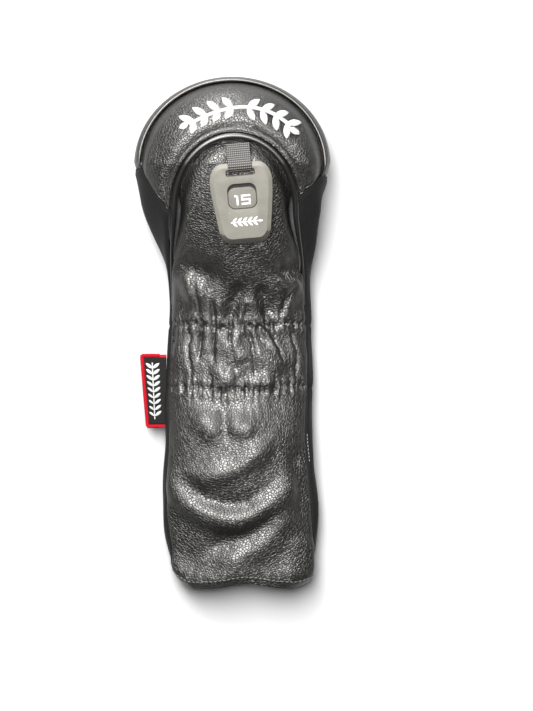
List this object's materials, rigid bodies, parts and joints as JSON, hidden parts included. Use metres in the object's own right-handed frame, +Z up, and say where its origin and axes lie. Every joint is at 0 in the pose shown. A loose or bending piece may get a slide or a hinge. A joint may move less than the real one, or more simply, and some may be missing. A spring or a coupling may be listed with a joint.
{
  "type": "golf club head cover",
  "caption": "Padded sewn sock for the head of a golf wood: a domed head with a piped arch, a gathered sleeve, a swinging number tag and a woven side label.",
  "frame": {"origin": "on the table, under the middle of the cover's bounding box, with the cover lying on its back", "axes": "+Y from the mouth to the crown, +X to the right seen from the front, +Z up out of the front"},
  "size_m": [0.129, 0.34, 0.0789],
  "materials": {
    "leatherette": "pebbled, satin",
    "stretch_knit": "fine diagonal rib, matt",
    "padding": "open-cell foam",
    "elastic": "ribbed",
    "plush": "short pile",
    "white_thread": "satin stitch",
    "webbing": "ribbed weave",
    "tag_rubber": "matt, moulded",
    "tag_plastic": "matt, printed",
    "red_weave": "overlocked edge",
    "black_weave": "damask weave"
  },
  "bodies": {
    "cover": {"crown_panel": "leatherette", "crown_foam": "padding", "front_panel": "leatherette", "right_side_panel": "stretch_knit", "left_side_panel": "stretch_knit", "back_sleeve_panel": "leatherette", "back_head_panel": "leatherette", "back_foam": "padding", "crown_piping": "leatherette", "arch_piping": "leatherette", "upper_elastic": "elastic", "lower_elastic": "elastic", "hem_facing": "leatherette", "lining": "plush", "crown_embroidery": "white_thread"},
    "strap": {"strap_loop": "webbing"},
    "tag": {"tag_front_shell": "tag_rubber", "tag_back_shell": "tag_rubber"},
    "insert": {"number_insert": "tag_plastic"},
    "label": {"label_backing": "red_weave", "label_front_face": "black_weave", "label_back_face": "black_weave"}
  },
  "joints": [
    {"name": "strap_swing", "type": "hinge", "parent": "cover", "child": "strap", "pos_m": [0.00394, 0.12279, 0.07099], "axis": [-0.9962, -0.0872, 0], "range_deg": [0, 80]},
    {"name": "tag_swing", "type": "hinge", "parent": "strap", "child": "tag", "pos_m": [0.00512, 0.10932, 0.07461], "axis": [-0.9962, -0.0872, 0], "range_deg": [0, 100]},
    {"name": "insert_out", "type": "slide", "parent": "tag", "child": "insert", "axis": [0.0255, -0.2913, 0.9563], "range_m": [0, 0.006]},
    {"name": "label_bend", "type": "hinge", "parent": "cover", "child": "label", "pos_m": [-0.046, -0.03848, 0.01657], "axis": [0, 1, 0], "range_deg": [-55, 55], "stiffness_Nm_per_rad": 0.0034}
  ]
}
